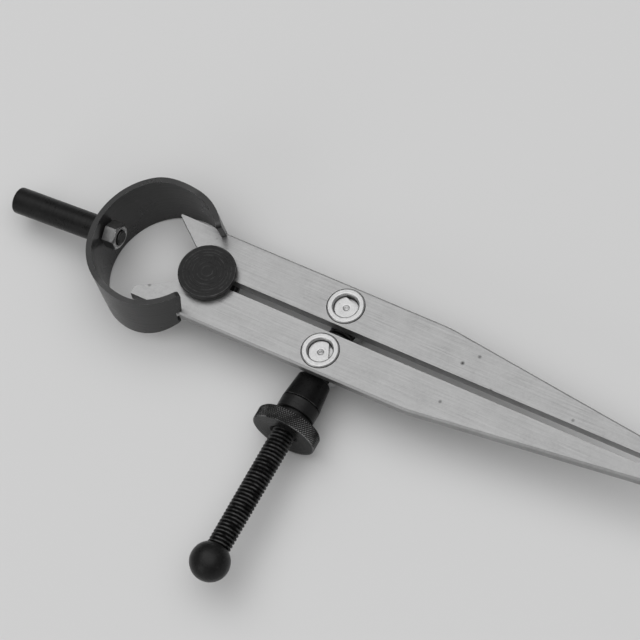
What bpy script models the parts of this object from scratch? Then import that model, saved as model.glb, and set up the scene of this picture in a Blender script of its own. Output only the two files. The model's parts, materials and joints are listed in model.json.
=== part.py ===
"""Spring divider with a bow spring, a knurled adjusting nut and two flat legs, lying on a floor.

The divider is built flat: +X runs from the fulcrum to the leg points, +Y to the leg that anchors the screw,
and Z is square to the legs with zero at mid thickness. The bow and the handle lean a little about Y. One
empty then lays it all on the three rims that touch the floor. The world is in metres.
"""

import math

import bmesh
import bpy
from mathutils import Matrix, Vector

MM = 0.001
QUARTER_TURN = math.pi / 2

# Gaps between pieces
SEAT_GAP = 0.3 * MM
PIN_GAP = 0.15 * MM
CUT_OVERRUN = 1.0 * MM

# Legs
LEG_REACH = 148.0 * MM
LEG_THICKNESS = 3.0 * MM
LEG_WIDTH = 10.95 * MM
LEG_SPACING = 2.6 * MM
LEG_CHAMFER = 0.5 * MM
LEG_NOTCH_DEPTH = 0.95 * MM
TAPER_START = 61.0 * MM
TAPER_CORNER_RADIUS = 32.0 * MM
POINT_GRIND = 24.0 * MM
POINT_SIZE = 0.5 * MM
LONG_HORN_REACH = 15.2 * MM
LONG_HORN_END = 2.2 * MM
LONG_HORN_SEAT_ANGLE = math.radians(140.5)
SHORT_HORN_REACH = 14.2 * MM
SHORT_HORN_END = 0.4 * MM
SHORT_HORN_SEAT_ANGLE = math.radians(134.0)

# Fulcrum roller
ROLLER_DIAMETER = 14.6 * MM
ROLLER_FLANGE = 2.0 * MM
ROLLER_SHANK_DIAMETER = 9.2 * MM
ROLLER_CHAMFER = 0.25 * MM
ROLLER_UNDERCUT = 0.7 * MM
ROLLER_RING_INNER = 3.6 * MM
ROLLER_RING_OUTER = 4.5 * MM
ROLLER_RING_DEPTH = 0.15 * MM

# Bow spring, an oval strip
BOW_CENTRE_BEHIND = 13.5 * MM
BOW_HALF_LENGTH = 16.5 * MM
BOW_HALF_WIDTH = 17.6 * MM
BOW_WALL = 1.4 * MM
BOW_BACK_ABOVE = 8.7 * MM
BOW_BACK_BELOW = 8.6 * MM
BOW_END_ABOVE = 6.25 * MM
BOW_END_BELOW = 4.5 * MM
BOW_UPPER_TAPER_START = math.radians(118.0)
BOW_UPPER_TAPER_END = math.radians(78.0)
BOW_LOWER_TAPER_START = math.radians(100.0)
BOW_END_RADIUS = 1.3 * MM
BOW_ABOVE_LEGS = 1.0 * MM
BOW_LEAN = math.radians(6.8)
BOW_PRONG_BEYOND_SLOT = math.radians(5.5)
BOW_END_LEAN = math.radians(12.0)
BOW_END_LEAN_FADE = math.radians(25.0)

# Handle stem and the nut that holds it in the bow
STEM_DIAMETER = 6.7 * MM
STEM_LENGTH = 24.6 * MM
STEM_END_RADIUS = 0.7 * MM
STEM_ABOVE_MIDDLE = 2.4 * MM
STEM_THREAD_DIAMETER = 3.5 * MM
STEM_THREAD_PROUD = 0.6 * MM
STEM_NUT_WIDTH = 6.0 * MM
STEM_NUT_THICKNESS = 3.4 * MM
STEM_NUT_CHAMFER = 0.5 * MM

# Swivel studs and their washers
STUD_FORWARD = 34.9 * MM
STUD_PIN_RECESS = 0.8 * MM
STUD_PIN_FLAT = 0.7 * MM
STUD_PIN_FLAT_DEPTH = 1.0 * MM
STUD_HEAD_DIAMETER = 9.0 * MM
STUD_FOOT_BELOW_SCREW = 5.0 * MM
STUD_CHAMFER = 0.5 * MM
WASHER_INSIDE_EDGE = 0.775 * MM
WASHER_RING_WIDTH = 1.6 * MM
WASHER_THICKNESS = 1.2 * MM
WASHER_PROUD = 0.5 * MM
WASHER_CHAMFER = 0.3 * MM
ANCHOR_FLAT_ANGLE = math.radians(70.0)
SLIDING_FLAT_ANGLE = math.radians(25.0)

# Adjusting screw and ball
SCREW_DIAMETER = 6.0 * MM
SCREW_BELOW_LEGS = 6.2 * MM
SCREW_END_PROUD = 0.9 * MM
SCREW_CHAMFER = 0.5 * MM
BALL_DIAMETER = 10.1 * MM
BALL_FROM_MIDDLE = 64.7 * MM
BALL_SOCKET_DEPTH = 5.2 * MM

# Thrust bush
BUSH_LENGTH = 6.8 * MM
BUSH_NARROW_DIAMETER = 8.5 * MM
BUSH_WIDE_DIAMETER = 10.0 * MM
BUSH_NOSE_RADIUS = 0.5 * MM

# Knurled nut
NUT_HUB_DIAMETER = 10.1 * MM
NUT_HUB_LENGTH = 3.4 * MM
NUT_NECK_DIAMETER = 9.0 * MM
NUT_NECK_LENGTH = 2.0 * MM
NUT_DISC_DIAMETER = 16.8 * MM
NUT_DISC_THICKNESS = 3.8 * MM
NUT_DISC_CHAMFER = 0.5 * MM
NUT_DISC_FACE_EDGE = 0.15 * MM

# Facets of round pieces
FINE_STEPS = 48
PLAIN_STEPS = 32
BOW_STEPS = 44
BALL_STEPS = 14
SEAT_STEPS = 12
HEX_SIDE_STEPS = 6
CORNER_STEPS = 4

# Sizes that follow from those above
INNER_EDGE = LEG_SPACING / 2
OUTER_EDGE = INNER_EDGE + LEG_WIDTH
LEG_FACE = LEG_THICKNESS / 2
STUD_ASIDE = INNER_EDGE + LEG_WIDTH / 2 - PIN_GAP
WASHER_DIAMETER = LEG_WIDTH - 2 * WASHER_INSIDE_EDGE
STUD_PIN_DIAMETER = WASHER_DIAMETER - 2 * WASHER_RING_WIDTH - 2 * PIN_GAP
SCREW_BORE_RADIUS = SCREW_DIAMETER / 2 + SEAT_GAP
BOW_LEAN_PLAY = LEG_FACE * math.tan(BOW_LEAN)
BOW_NOTCH_INSET = BOW_WALL + SEAT_GAP + BOW_LEAN_PLAY
BOW_SLOT_ANGLE = math.asin((OUTER_EDGE - LEG_NOTCH_DEPTH) / (BOW_HALF_WIDTH - BOW_NOTCH_INSET))
BOW_PRONG_ANGLE = BOW_SLOT_ANGLE - BOW_PRONG_BEYOND_SLOT
STUD_FOOT = -SCREW_BELOW_LEGS - STUD_FOOT_BELOW_SCREW

# Finishes: base colour, metallic, roughness
FINISHES = {
    "mill_steel": ((0.42, 0.42, 0.42), 0.9, 0.42),
    "bright_steel": ((0.66, 0.66, 0.66), 0.95, 0.3),
    "black_oxide": ((0.03, 0.03, 0.032), 0.6, 0.38),
    "blued_spring": ((0.06, 0.06, 0.062), 0.8, 0.35),
    "zinc_plate": ((0.5, 0.5, 0.5), 0.95, 0.35),
}


def clear_scene():
    for item in list(bpy.data.objects):
        bpy.data.objects.remove(item, do_unlink=True)


def finish(name):
    material = bpy.data.materials.get(name)
    if material:
        return material
    colour, metallic, roughness = FINISHES[name]
    material = bpy.data.materials.new(name)
    material.use_nodes = True
    shader = material.node_tree.nodes["Principled BSDF"]
    shader.inputs["Base Color"].default_value = (*colour, 1.0)
    shader.inputs["Metallic"].default_value = metallic
    shader.inputs["Roughness"].default_value = roughness
    return material


def empty(name, parent=None, place=(0, 0, 0), turn=(0, 0, 0)):
    item = bpy.data.objects.new(name, None)
    bpy.context.scene.collection.objects.link(item)
    item.parent = parent
    item.location = place
    item.rotation_euler = turn
    return item


def solid(name, shape, parent, finish_name=None, place=(0, 0, 0), turn=(0, 0, 0)):
    """Object made from a bmesh, with its normals facing out. Without a finish it is a cutter."""
    bmesh.ops.recalc_face_normals(shape, faces=shape.faces)
    mesh = bpy.data.meshes.new(name)
    shape.to_mesh(mesh)
    shape.free()
    item = bpy.data.objects.new(name, mesh)
    bpy.context.scene.collection.objects.link(item)
    item.parent = parent
    item.location = place
    item.rotation_euler = turn
    if finish_name:
        mesh.materials.append(finish(finish_name))
        mesh.shade_smooth()
        mesh.set_sharp_from_angle(angle=math.radians(32.0))
    else:
        item.hide_render = True
        item.display_type = "WIRE"
    return item


def cut(item, cutter):
    """Takes the cutter's shape out of the item."""
    modifier = item.modifiers.new("cut_" + cutter.name, "BOOLEAN")
    modifier.operation = "DIFFERENCE"
    modifier.object = cutter


def join_rings(shape, rings):
    """Faces between each closed ring of corners and the next, the last ring joining the first."""
    for ring, following in zip(rings, rings[1:] + rings[:1]):
        count = max(len(ring), len(following))
        if count == 1:
            continue
        for step in range(count):
            corners = [
                ring[step % len(ring)],
                ring[(step + 1) % len(ring)],
                following[(step + 1) % len(following)],
                following[step % len(following)],
            ]
            shape.faces.new(list(dict.fromkeys(corners)))


def turned(outline, steps):
    """Solid turned about Z from a closed outline of (radius, height). Points on the axis become poles."""
    shape = bmesh.new()
    rings = []
    for radius, height in outline:
        if radius == 0:
            rings.append([shape.verts.new((0, 0, height))])
            continue
        circle = [on_circle((0, 0), radius, math.tau * step / steps) for step in range(steps)]
        rings.append([shape.verts.new((*spot, height)) for spot in circle])
    join_rings(shape, rings)
    return shape


def plate(outline, bottom, top):
    """Flat solid between two heights, from the corners of its outline."""
    shape = bmesh.new()
    face = shape.faces.new([shape.verts.new((x, y, bottom)) for x, y in outline])
    made = bmesh.ops.extrude_face_region(shape, geom=[face])
    raised = [item for item in made["geom"] if isinstance(item, bmesh.types.BMVert)]
    bmesh.ops.translate(shape, vec=(0, 0, top - bottom), verts=raised)
    return shape


def drum(radius, bottom, top):
    return turned([(0, bottom), (radius, bottom), (radius, top), (0, top)], PLAIN_STEPS)


def on_circle(centre, radius, angle):
    return (centre[0] + radius * math.cos(angle), centre[1] + radius * math.sin(angle))


def arc(centre, radius, first, last, steps):
    return [
        on_circle(centre, radius, first + (last - first) * step / steps)
        for step in range(steps + 1)
    ]


def rounded(before, corner, after, radius):
    """Arc that rounds a corner between its two neighbours."""
    corner = Vector(corner)
    back = (Vector(before) - corner).normalized()
    ahead = (Vector(after) - corner).normalized()
    half = back.angle(ahead) / 2
    centre = corner + (back + ahead).normalized() * (radius / math.sin(half))
    start = corner + back * (radius / math.tan(half)) - centre
    sweep = math.pi - 2 * half
    turn = math.copysign(sweep, -(back.x * ahead.y - back.y * ahead.x))
    return [
        tuple(centre + Matrix.Rotation(turn * step / CORNER_STEPS, 2) @ start)
        for step in range(CORNER_STEPS + 1)
    ]


def on_bow(inset, angle):
    """Point of the bow's oval, moved in from its outer face, with the bow's centre at zero."""
    return (
        (BOW_HALF_LENGTH - inset) * math.cos(angle),
        (BOW_HALF_WIDTH - inset) * math.sin(angle),
    )


def leg_outline(horn_reach, horn_end, seat_angle):
    """Corners of the leg on the +Y side, from the fulcrum seat round by the horn to the point."""
    seat_radius = ROLLER_SHANK_DIAMETER / 2 + SEAT_GAP
    seat_start = math.asin(INNER_EDGE / seat_radius)
    seat = arc((0, 0), seat_radius, seat_start, seat_angle, SEAT_STEPS)
    horn = [(-horn_reach, OUTER_EDGE - horn_end), (-horn_reach, OUTER_EDGE)]
    notch_back = math.asin(OUTER_EDGE / (BOW_HALF_WIDTH - BOW_NOTCH_INSET))
    notch = []
    for step in range(CORNER_STEPS + 1):
        angle = notch_back + (BOW_SLOT_ANGLE - notch_back) * step / CORNER_STEPS
        x, y = on_bow(BOW_NOTCH_INSET, angle)
        notch.append((x - BOW_CENTRE_BEHIND, y))
    notch_floor = notch[-1][1]
    notch_front = on_bow(0, BOW_SLOT_ANGLE)[0] - BOW_CENTRE_BEHIND + SEAT_GAP + BOW_LEAN_PLAY
    notch += [(notch_front, notch_floor), (notch_front, OUTER_EDGE)]
    point = [(LEG_REACH, INNER_EDGE + POINT_SIZE), (LEG_REACH, INNER_EDGE)]
    corner = rounded(notch[-1], (TAPER_START, OUTER_EDGE), point[0], TAPER_CORNER_RADIUS)
    return seat + horn + notch + corner + point


def leg(name, side, horn_reach, horn_end, seat_angle, parent):
    """Leg plate with its point ground thin, the stud's bore and the washer's counterbore."""
    outline = leg_outline(horn_reach, horn_end, seat_angle)
    shape = plate([(x, side * y) for x, y in outline], -LEG_FACE, LEG_FACE)
    grind_start = LEG_REACH - POINT_GRIND
    everything = shape.verts[:] + shape.edges[:] + shape.faces[:]
    bmesh.ops.bisect_plane(shape, geom=everything, plane_co=(grind_start, 0, 0), plane_no=(1, 0, 0))
    for vert in shape.verts:
        ground = max(0, (vert.co.x - grind_start) / POINT_GRIND)
        vert.co.z *= 1 - ground * (1 - POINT_SIZE / LEG_THICKNESS)
    reach_limit = grind_start + CUT_OVERRUN
    straight = [
        edge
        for edge in shape.edges
        if all(vert.co.x < reach_limit for vert in edge.verts)
        and abs(edge.verts[0].co.z - edge.verts[1].co.z) < LEG_CHAMFER
        and len(edge.link_faces) == 2
        and edge.calc_face_angle() > math.radians(60.0)
    ]
    bmesh.ops.bevel(shape, geom=straight, offset=LEG_CHAMFER, segments=1, affect="EDGES")
    item = solid(name, shape, parent, "mill_steel")
    bore = drum(STUD_PIN_DIAMETER / 2 + SEAT_GAP, -LEG_FACE - CUT_OVERRUN, LEG_FACE + CUT_OVERRUN)
    recess_floor = LEG_FACE + WASHER_PROUD - WASHER_THICKNESS - SEAT_GAP
    recess = drum(WASHER_DIAMETER / 2 + PIN_GAP, recess_floor, LEG_FACE + CUT_OVERRUN)
    place = (STUD_FORWARD, side * STUD_ASIDE, 0)
    cut(item, solid(name + "_bore_cutter", bore, parent, place=place))
    cut(item, solid(name + "_recess_cutter", recess, parent, place=place))


def fulcrum_roller(parent):
    """Spool whose shank sits between the legs' round seats, with a flange over each face."""
    face = LEG_FACE + SEAT_GAP
    top = face + ROLLER_FLANGE
    rim = ROLLER_DIAMETER / 2
    upper = [
        (rim - ROLLER_UNDERCUT, face),
        (rim, face + ROLLER_UNDERCUT),
        (rim, top - ROLLER_CHAMFER),
        (rim - ROLLER_CHAMFER, top),
        (ROLLER_RING_OUTER, top),
        (ROLLER_RING_OUTER, top - ROLLER_RING_DEPTH),
        (ROLLER_RING_INNER, top - ROLLER_RING_DEPTH),
        (ROLLER_RING_INNER, top),
        (0, top),
    ]
    shank = ROLLER_SHANK_DIAMETER / 2
    lower = [(radius, -height) for radius, height in reversed(upper)]
    outline = lower + [(shank, -face), (shank, face)] + upper
    solid("fulcrum_roller", turned(outline, FINE_STEPS), parent, "black_oxide")


def strip_edges(angle):
    """Height of the strip's lower and upper edge. Both curve in towards the strip's ends."""
    from_front = min(angle, math.tau - angle)
    upper = (from_front - BOW_UPPER_TAPER_END) / (BOW_UPPER_TAPER_START - BOW_UPPER_TAPER_END)
    upper = min(1, max(0, upper))
    lower = min(1, (from_front - BOW_PRONG_ANGLE) / (BOW_LOWER_TAPER_START - BOW_PRONG_ANGLE))
    above = BOW_END_ABOVE + (BOW_BACK_ABOVE - BOW_END_ABOVE) * upper**2 * (3 - 2 * upper)
    below = BOW_END_BELOW + (BOW_BACK_BELOW - BOW_END_BELOW) * math.sin(lower * QUARTER_TURN)
    return -below, above


def strip_stations():
    """Angles along the bow's strip with its two edges there. Both ends have rounded corners."""
    length_per_radian = BOW_HALF_WIDTH - BOW_WALL / 2
    end = []
    for step in range(CORNER_STEPS + 1):
        turn = QUARTER_TURN * step / CORNER_STEPS
        run = BOW_END_RADIUS * (1 - math.cos(turn))
        drop = BOW_END_RADIUS * (1 - math.sin(turn))
        angle = BOW_PRONG_ANGLE + run / length_per_radian
        low, high = strip_edges(angle)
        end.append((angle, low + drop, high - drop))
    first = end[-1][0]
    span = math.tau - 2 * first
    middle = [first + span * step / BOW_STEPS for step in range(1, BOW_STEPS)]
    far_end = [(math.tau - angle, low, high) for angle, low, high in reversed(end)]
    return end + [(angle, *strip_edges(angle)) for angle in middle] + far_end


def bow_edge(angle, height):
    """Outer and inner point of the strip's edge. Near both ends the upper edge reaches further."""
    from_end = min(angle, math.tau - angle) - BOW_PRONG_ANGLE
    share = max(0, 1 - from_end / BOW_END_LEAN_FADE)
    shift = share * height * math.tan(BOW_END_LEAN) / (BOW_HALF_WIDTH - BOW_WALL / 2)
    turn = angle - math.copysign(shift, shift * (math.pi - angle))
    return (*on_bow(0, turn), height), (*on_bow(BOW_WALL, turn), height)


def bow_spring(bow_axis, divider):
    """Flat strip bent round behind the fulcrum. Its slotted ends straddle the legs in their notches."""
    strip = bmesh.new()
    rings = []
    for angle, low, high in strip_stations():
        low_outer, low_inner = bow_edge(angle, low)
        high_outer, high_inner = bow_edge(angle, high)
        corners = (low_outer, high_outer, high_inner, low_inner)
        rings.append([strip.verts.new(corner) for corner in corners])
    for ring, following in zip(rings, rings[1:]):
        for side in range(4):
            ahead = (side + 1) % 4
            strip.faces.new([ring[side], ring[ahead], following[ahead], following[side]])
    strip.faces.new(rings[0])
    strip.faces.new(rings[-1])
    item = solid("bow_spring", strip, bow_axis, "blued_spring")
    half_slot = LEG_FACE + SEAT_GAP
    slot = []
    for inset, side in ((BOW_WALL + CUT_OVERRUN, 1), (-CUT_OVERRUN, -1)):
        for step in range(-CORNER_STEPS, CORNER_STEPS + 1):
            slot.append(on_bow(inset, side * BOW_SLOT_ANGLE * step / CORNER_STEPS))
    place = (-BOW_CENTRE_BEHIND, 0, 0)
    cut(item, solid("bow_slot_cutter", plate(slot, -half_slot, half_slot), divider, place=place))
    hole = drum(
        STEM_THREAD_DIAMETER / 2 + SEAT_GAP,
        BOW_HALF_LENGTH - BOW_WALL - CUT_OVERRUN,
        BOW_HALF_LENGTH + CUT_OVERRUN,
    )
    place = (0, 0, STEM_ABOVE_MIDDLE)
    cut(item, solid("bow_hole_cutter", hole, bow_axis, place=place, turn=(0, -QUARTER_TURN, 0)))


def hexagon(turn, flat):
    """Distance from the centre to a hexagon's side, in the direction of the turn."""
    sector = math.tau / 6
    return flat / math.cos((turn % sector) - sector / 2)


def hex_nut(width, bore, bottom, top):
    """Hexagonal ring about Z. Its front corners are chamfered round."""
    shape = bmesh.new()
    steps = 6 * HEX_SIDE_STEPS
    turns = [math.tau * step / steps for step in range(steps)]
    round_face = [width / 2] * steps
    sides = [hexagon(turn, width / 2) for turn in turns]
    rings = []
    for radii, height in (
        ([bore] * steps, bottom),
        (round_face, bottom),
        (sides, bottom + STEM_NUT_CHAMFER),
        (sides, top),
        ([bore] * steps, top),
    ):
        spots = [on_circle((0, 0), radius, turn) for radius, turn in zip(radii, turns)]
        rings.append([shape.verts.new((*spot, height)) for spot in spots])
    join_rings(shape, rings)
    return shape


def handle(bow_axis):
    """Stem that is turned between the fingers, screwed through the bow into a hex nut."""
    place = (0, 0, STEM_ABOVE_MIDDLE)
    axis = empty("stem_axis", bow_axis, place, (0, -QUARTER_TURN, 0))
    start = BOW_HALF_LENGTH + SEAT_GAP
    end = start + STEM_LENGTH
    radius = STEM_DIAMETER / 2
    thread = STEM_THREAD_DIAMETER / 2
    tip = rounded((radius, start), (radius, end), (0, end), STEM_END_RADIUS)
    nut_corner = STEM_NUT_WIDTH / 2 / math.cos(math.tau / 12)
    inner_length = BOW_HALF_LENGTH - BOW_WALL
    inner_width = BOW_HALF_WIDTH - BOW_WALL
    nut_back = inner_length * math.sqrt(1 - (nut_corner / inner_width) ** 2) - SEAT_GAP
    nut_front = nut_back - STEM_NUT_THICKNESS
    thread_end = nut_front - STEM_THREAD_PROUD
    outline = [(0, thread_end), (thread, thread_end), (thread, start), (radius, start)]
    outline += [*tip, (0, end)]
    solid("handle_stem", turned(outline, PLAIN_STEPS), axis, "black_oxide")
    nut = hex_nut(STEM_NUT_WIDTH, thread + PIN_GAP, nut_front, nut_back)
    solid("stem_hex_nut", nut, axis, "zinc_plate")


def swivel_stud(name, parent, flat_angle):
    """Pin that turns in the leg, with a cross bored head below for the screw."""
    pin = STUD_PIN_DIAMETER / 2
    head = STUD_HEAD_DIAMETER / 2
    top = LEG_FACE + WASHER_PROUD - STUD_PIN_RECESS
    shoulder = -LEG_FACE - SEAT_GAP
    outline = [
        (0, STUD_FOOT),
        (head - STUD_CHAMFER, STUD_FOOT),
        (head, STUD_FOOT + STUD_CHAMFER),
        (head, shoulder),
        (pin, shoulder),
        (pin, top),
        (0, top),
    ]
    item = solid(name, turned(outline, PLAIN_STEPS), parent, "bright_steel")
    across = drum(SCREW_BORE_RADIUS, -head - CUT_OVERRUN, head + CUT_OVERRUN)
    place = (0, 0, -SCREW_BELOW_LEGS)
    turn = (QUARTER_TURN, 0, 0)
    cut(item, solid(name + "_bore_cutter", across, parent, place=place, turn=turn))
    near = pin - STUD_PIN_FLAT
    far = pin + CUT_OVERRUN
    block = [(near, -far), (far, -far), (far, far), (near, far)]
    flat = plate(block, top - STUD_PIN_FLAT_DEPTH, top + CUT_OVERRUN)
    cut(item, solid(name + "_flat_cutter", flat, parent, turn=(0, 0, flat_angle)))


def washer(name, parent):
    outer = WASHER_DIAMETER / 2
    bore = STUD_PIN_DIAMETER / 2 + PIN_GAP
    top = LEG_FACE + WASHER_PROUD
    bottom = top - WASHER_THICKNESS
    outline = [
        (bore, bottom),
        (outer, bottom),
        (outer, top - WASHER_CHAMFER),
        (outer - WASHER_CHAMFER, top),
        (bore + WASHER_CHAMFER, top),
        (bore, top - WASHER_CHAMFER),
    ]
    solid(name, turned(outline, FINE_STEPS), parent, "bright_steel")


def adjusting_screw(axis):
    """Threaded rod held in the anchor stud. Its axis runs from that stud towards the ball."""
    radius = SCREW_DIAMETER / 2
    start = -STUD_HEAD_DIAMETER / 2 - SCREW_END_PROUD
    ball_centre = STUD_ASIDE + BALL_FROM_MIDDLE
    socket_floor = ball_centre - BALL_DIAMETER / 2 + BALL_SOCKET_DEPTH
    end = socket_floor - SEAT_GAP
    outline = [
        (0, start),
        (radius - SCREW_CHAMFER, start),
        (radius, start + SCREW_CHAMFER),
        (radius, end - SCREW_CHAMFER),
        (radius - SCREW_CHAMFER, end),
        (0, end),
    ]
    solid("adjusting_screw", turned(outline, PLAIN_STEPS), axis, "black_oxide")
    screw_ball(axis, ball_centre, socket_floor)


def screw_ball(axis, centre, socket_floor):
    """Ball that ends the screw's travel, with a socket for the screw's end."""
    ball = BALL_DIAMETER / 2
    socket = SCREW_DIAMETER / 2 + PIN_GAP
    mouth_angle = math.asin(socket / ball)
    outline = [(0, socket_floor), (socket, socket_floor)]
    for step in range(BALL_STEPS):
        angle = mouth_angle + (math.pi - mouth_angle) * step / BALL_STEPS
        outline.append((ball * math.sin(angle), centre - ball * math.cos(angle)))
    outline.append((0, centre + ball))
    solid("screw_ball", turned(outline, PLAIN_STEPS), axis, "black_oxide")


def thrust_bush(axis, start):
    """Cone that presses on the sliding stud's head."""
    bore = SCREW_BORE_RADIUS
    narrow = BUSH_NARROW_DIAMETER / 2
    wide = BUSH_WIDE_DIAMETER / 2
    nose = rounded((bore, 0), (narrow, 0), (wide, BUSH_LENGTH), BUSH_NOSE_RADIUS)
    outline = [(bore, 0), *nose, (wide, BUSH_LENGTH), (bore, BUSH_LENGTH)]
    solid("thrust_bush", turned(outline, PLAIN_STEPS), axis, "black_oxide", place=(0, 0, start))


def knurled_nut(axis, start):
    """Finger nut: a hub that bears on the bush, a neck, and the knurled disc."""
    bore = SCREW_BORE_RADIUS
    neck_start = NUT_HUB_LENGTH
    disc_start = neck_start + NUT_NECK_LENGTH
    disc_end = disc_start + NUT_DISC_THICKNESS
    hub = NUT_HUB_DIAMETER / 2
    neck = NUT_NECK_DIAMETER / 2
    disc = NUT_DISC_DIAMETER / 2
    outline = [
        (bore, 0),
        (hub, 0),
        (hub, neck_start),
        (neck, neck_start),
        (neck, disc_start),
        (disc - NUT_DISC_CHAMFER, disc_start),
        (disc, disc_start + NUT_DISC_CHAMFER),
        (disc, disc_end - NUT_DISC_FACE_EDGE),
        (disc - NUT_DISC_FACE_EDGE, disc_end),
        (bore, disc_end),
    ]
    solid("knurled_nut", turned(outline, FINE_STEPS), axis, "black_oxide", place=(0, 0, start))


def lowest_on_rim(centre, one_half_axis, other_half_axis, up):
    """Point of a round or oval rim that lies lowest when up is the upward direction."""
    one = one_half_axis.dot(up)
    other = other_half_axis.dot(up)
    return centre - (one_half_axis * one + other_half_axis * other) / math.hypot(one, other)


def lying_turn(nut_start):
    """Turn that brings the floor under the knurled nut, the anchor stud and the bow level.

    Each of the three touches with a rim or an edge. Its lowest point depends on the tilt, so the plane
    through the three points is found again until it settles.
    """
    along = Vector((1, 0, 0))
    aside = Vector((0, 1, 0))
    upright = Vector((0, 0, 1))
    disc_edge = nut_start - STUD_ASIDE + NUT_HUB_LENGTH + NUT_NECK_LENGTH + NUT_DISC_CHAMFER
    disc = NUT_DISC_DIAMETER / 2
    foot = STUD_HEAD_DIAMETER / 2 - STUD_CHAMFER
    bow = Matrix.Translation((-BOW_CENTRE_BEHIND, 0, BOW_ABOVE_LEGS)) @ Matrix.Rotation(-BOW_LEAN, 4, "Y")
    bow_edge_points = [bow @ Vector(bow_edge(angle, low)[0]) for angle, low, _ in strip_stations()]
    rims = (
        (Vector((STUD_FORWARD, -disc_edge, -SCREW_BELOW_LEGS)), along * disc, upright * disc),
        (Vector((STUD_FORWARD, STUD_ASIDE, STUD_FOOT)), along * foot, aside * foot),
    )
    up = Vector((0.05, -0.1, 1)).normalized()
    for _ in range(40):
        nut, stud = (lowest_on_rim(*rim, up) for rim in rims)
        up = (stud - nut).cross(min(bow_edge_points, key=up.dot) - nut).normalized()
    forward = (along - up * up.x).normalized()
    return Matrix((forward, up.cross(forward), up)).to_4x4()


def settle(divider, nut_start):
    """Sets the divider on the floor, with the middle of its box over the world's origin."""
    divider.matrix_world = lying_turn(nut_start)
    bpy.context.view_layer.update()
    graph = bpy.context.evaluated_depsgraph_get()
    points = []
    for item in bpy.context.scene.objects:
        if item.type != "MESH" or item.hide_render:
            continue
        evaluated = item.evaluated_get(graph)
        points += [item.matrix_world @ vert.co for vert in evaluated.data.vertices]
    low = [min(point[axis] for point in points) for axis in range(3)]
    high = [max(point[axis] for point in points) for axis in range(3)]
    shift = Vector((-(low[0] + high[0]) / 2, -(low[1] + high[1]) / 2, -low[2]))
    divider.matrix_world = Matrix.Translation(shift) @ divider.matrix_world
    bpy.context.view_layer.update()


def build():
    clear_scene()
    divider = empty("divider")
    leg("anchor_leg", 1, SHORT_HORN_REACH, SHORT_HORN_END, SHORT_HORN_SEAT_ANGLE, divider)
    leg("sliding_leg", -1, LONG_HORN_REACH, LONG_HORN_END, LONG_HORN_SEAT_ANGLE, divider)
    fulcrum_roller(divider)
    bow_place = (-BOW_CENTRE_BEHIND, 0, BOW_ABOVE_LEGS)
    bow_axis = empty("bow_axis", divider, bow_place, (0, -BOW_LEAN, 0))
    bow_spring(bow_axis, divider)
    handle(bow_axis)
    anchor_pivot = empty("anchor_pivot", divider, (STUD_FORWARD, STUD_ASIDE, 0))
    sliding_pivot = empty("sliding_pivot", divider, (STUD_FORWARD, -STUD_ASIDE, 0))
    swivel_stud("anchor_stud", anchor_pivot, ANCHOR_FLAT_ANGLE)
    washer("anchor_washer", anchor_pivot)
    swivel_stud("sliding_stud", sliding_pivot, SLIDING_FLAT_ANGLE)
    washer("sliding_washer", sliding_pivot)
    screw_place = (0, 0, -SCREW_BELOW_LEGS)
    screw_axis = empty("screw_axis", anchor_pivot, screw_place, (QUARTER_TURN, 0, 0))
    adjusting_screw(screw_axis)
    bush_start = 2 * STUD_ASIDE + STUD_HEAD_DIAMETER / 2 + SEAT_GAP
    nut_start = bush_start + BUSH_LENGTH + SEAT_GAP
    thrust_bush(screw_axis, bush_start)
    knurled_nut(screw_axis, nut_start)
    settle(divider, nut_start)


build()
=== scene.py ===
"""Looks of the spring divider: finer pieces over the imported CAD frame, steel finishes, and a studio.

Sizes are in millimetres and match the CAD part. Each piece is shaped about its own axis, baked to a plain
mesh, and moved to its place, so that its object sits at the origin.
"""

import json
import math

import bmesh
import bpy
from mathutils import Matrix, Vector


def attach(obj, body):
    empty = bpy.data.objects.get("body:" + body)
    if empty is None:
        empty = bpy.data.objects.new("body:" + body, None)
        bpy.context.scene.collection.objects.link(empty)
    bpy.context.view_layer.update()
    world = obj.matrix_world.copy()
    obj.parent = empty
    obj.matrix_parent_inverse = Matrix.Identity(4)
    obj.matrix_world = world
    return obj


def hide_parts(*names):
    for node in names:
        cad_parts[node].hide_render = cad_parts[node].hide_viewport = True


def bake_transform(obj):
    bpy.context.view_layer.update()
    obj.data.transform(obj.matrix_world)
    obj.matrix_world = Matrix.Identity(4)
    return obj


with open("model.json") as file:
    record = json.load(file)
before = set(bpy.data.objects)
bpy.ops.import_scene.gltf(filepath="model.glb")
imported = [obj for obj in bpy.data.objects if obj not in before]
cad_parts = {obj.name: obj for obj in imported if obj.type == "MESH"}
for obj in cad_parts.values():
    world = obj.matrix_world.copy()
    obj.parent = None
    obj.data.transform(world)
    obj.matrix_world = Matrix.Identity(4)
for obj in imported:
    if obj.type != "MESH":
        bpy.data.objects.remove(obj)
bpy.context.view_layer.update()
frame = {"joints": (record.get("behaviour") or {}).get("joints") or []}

MM = 0.001
QUARTER_TURN = math.pi / 2
# How far a cutter stands out past what it cuts
OUT = 1.0

# Gaps between pieces
SEAT_GAP = 0.3
PIN_GAP = 0.15

# Legs
LEG_REACH = 148.0
LEG_FACE = 1.5
LEG_WIDTH = 10.95
INNER_EDGE = 1.3
OUTER_EDGE = INNER_EDGE + LEG_WIDTH
LEG_CHAMFER = 0.5
LEG_BROKEN_EDGE = 0.12
LEG_NOTCH_DEPTH = 0.95
TAPER_START = 61.0
TAPER_CORNER_RADIUS = 32.0
POINT_GRIND = 24.0
POINT_SIZE = 0.5
LONG_HORN = {"reach": 15.2, "end": 2.2, "seat_angle": math.radians(140.5)}
SHORT_HORN = {"reach": 14.2, "end": 0.4, "seat_angle": math.radians(134.0)}

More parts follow.
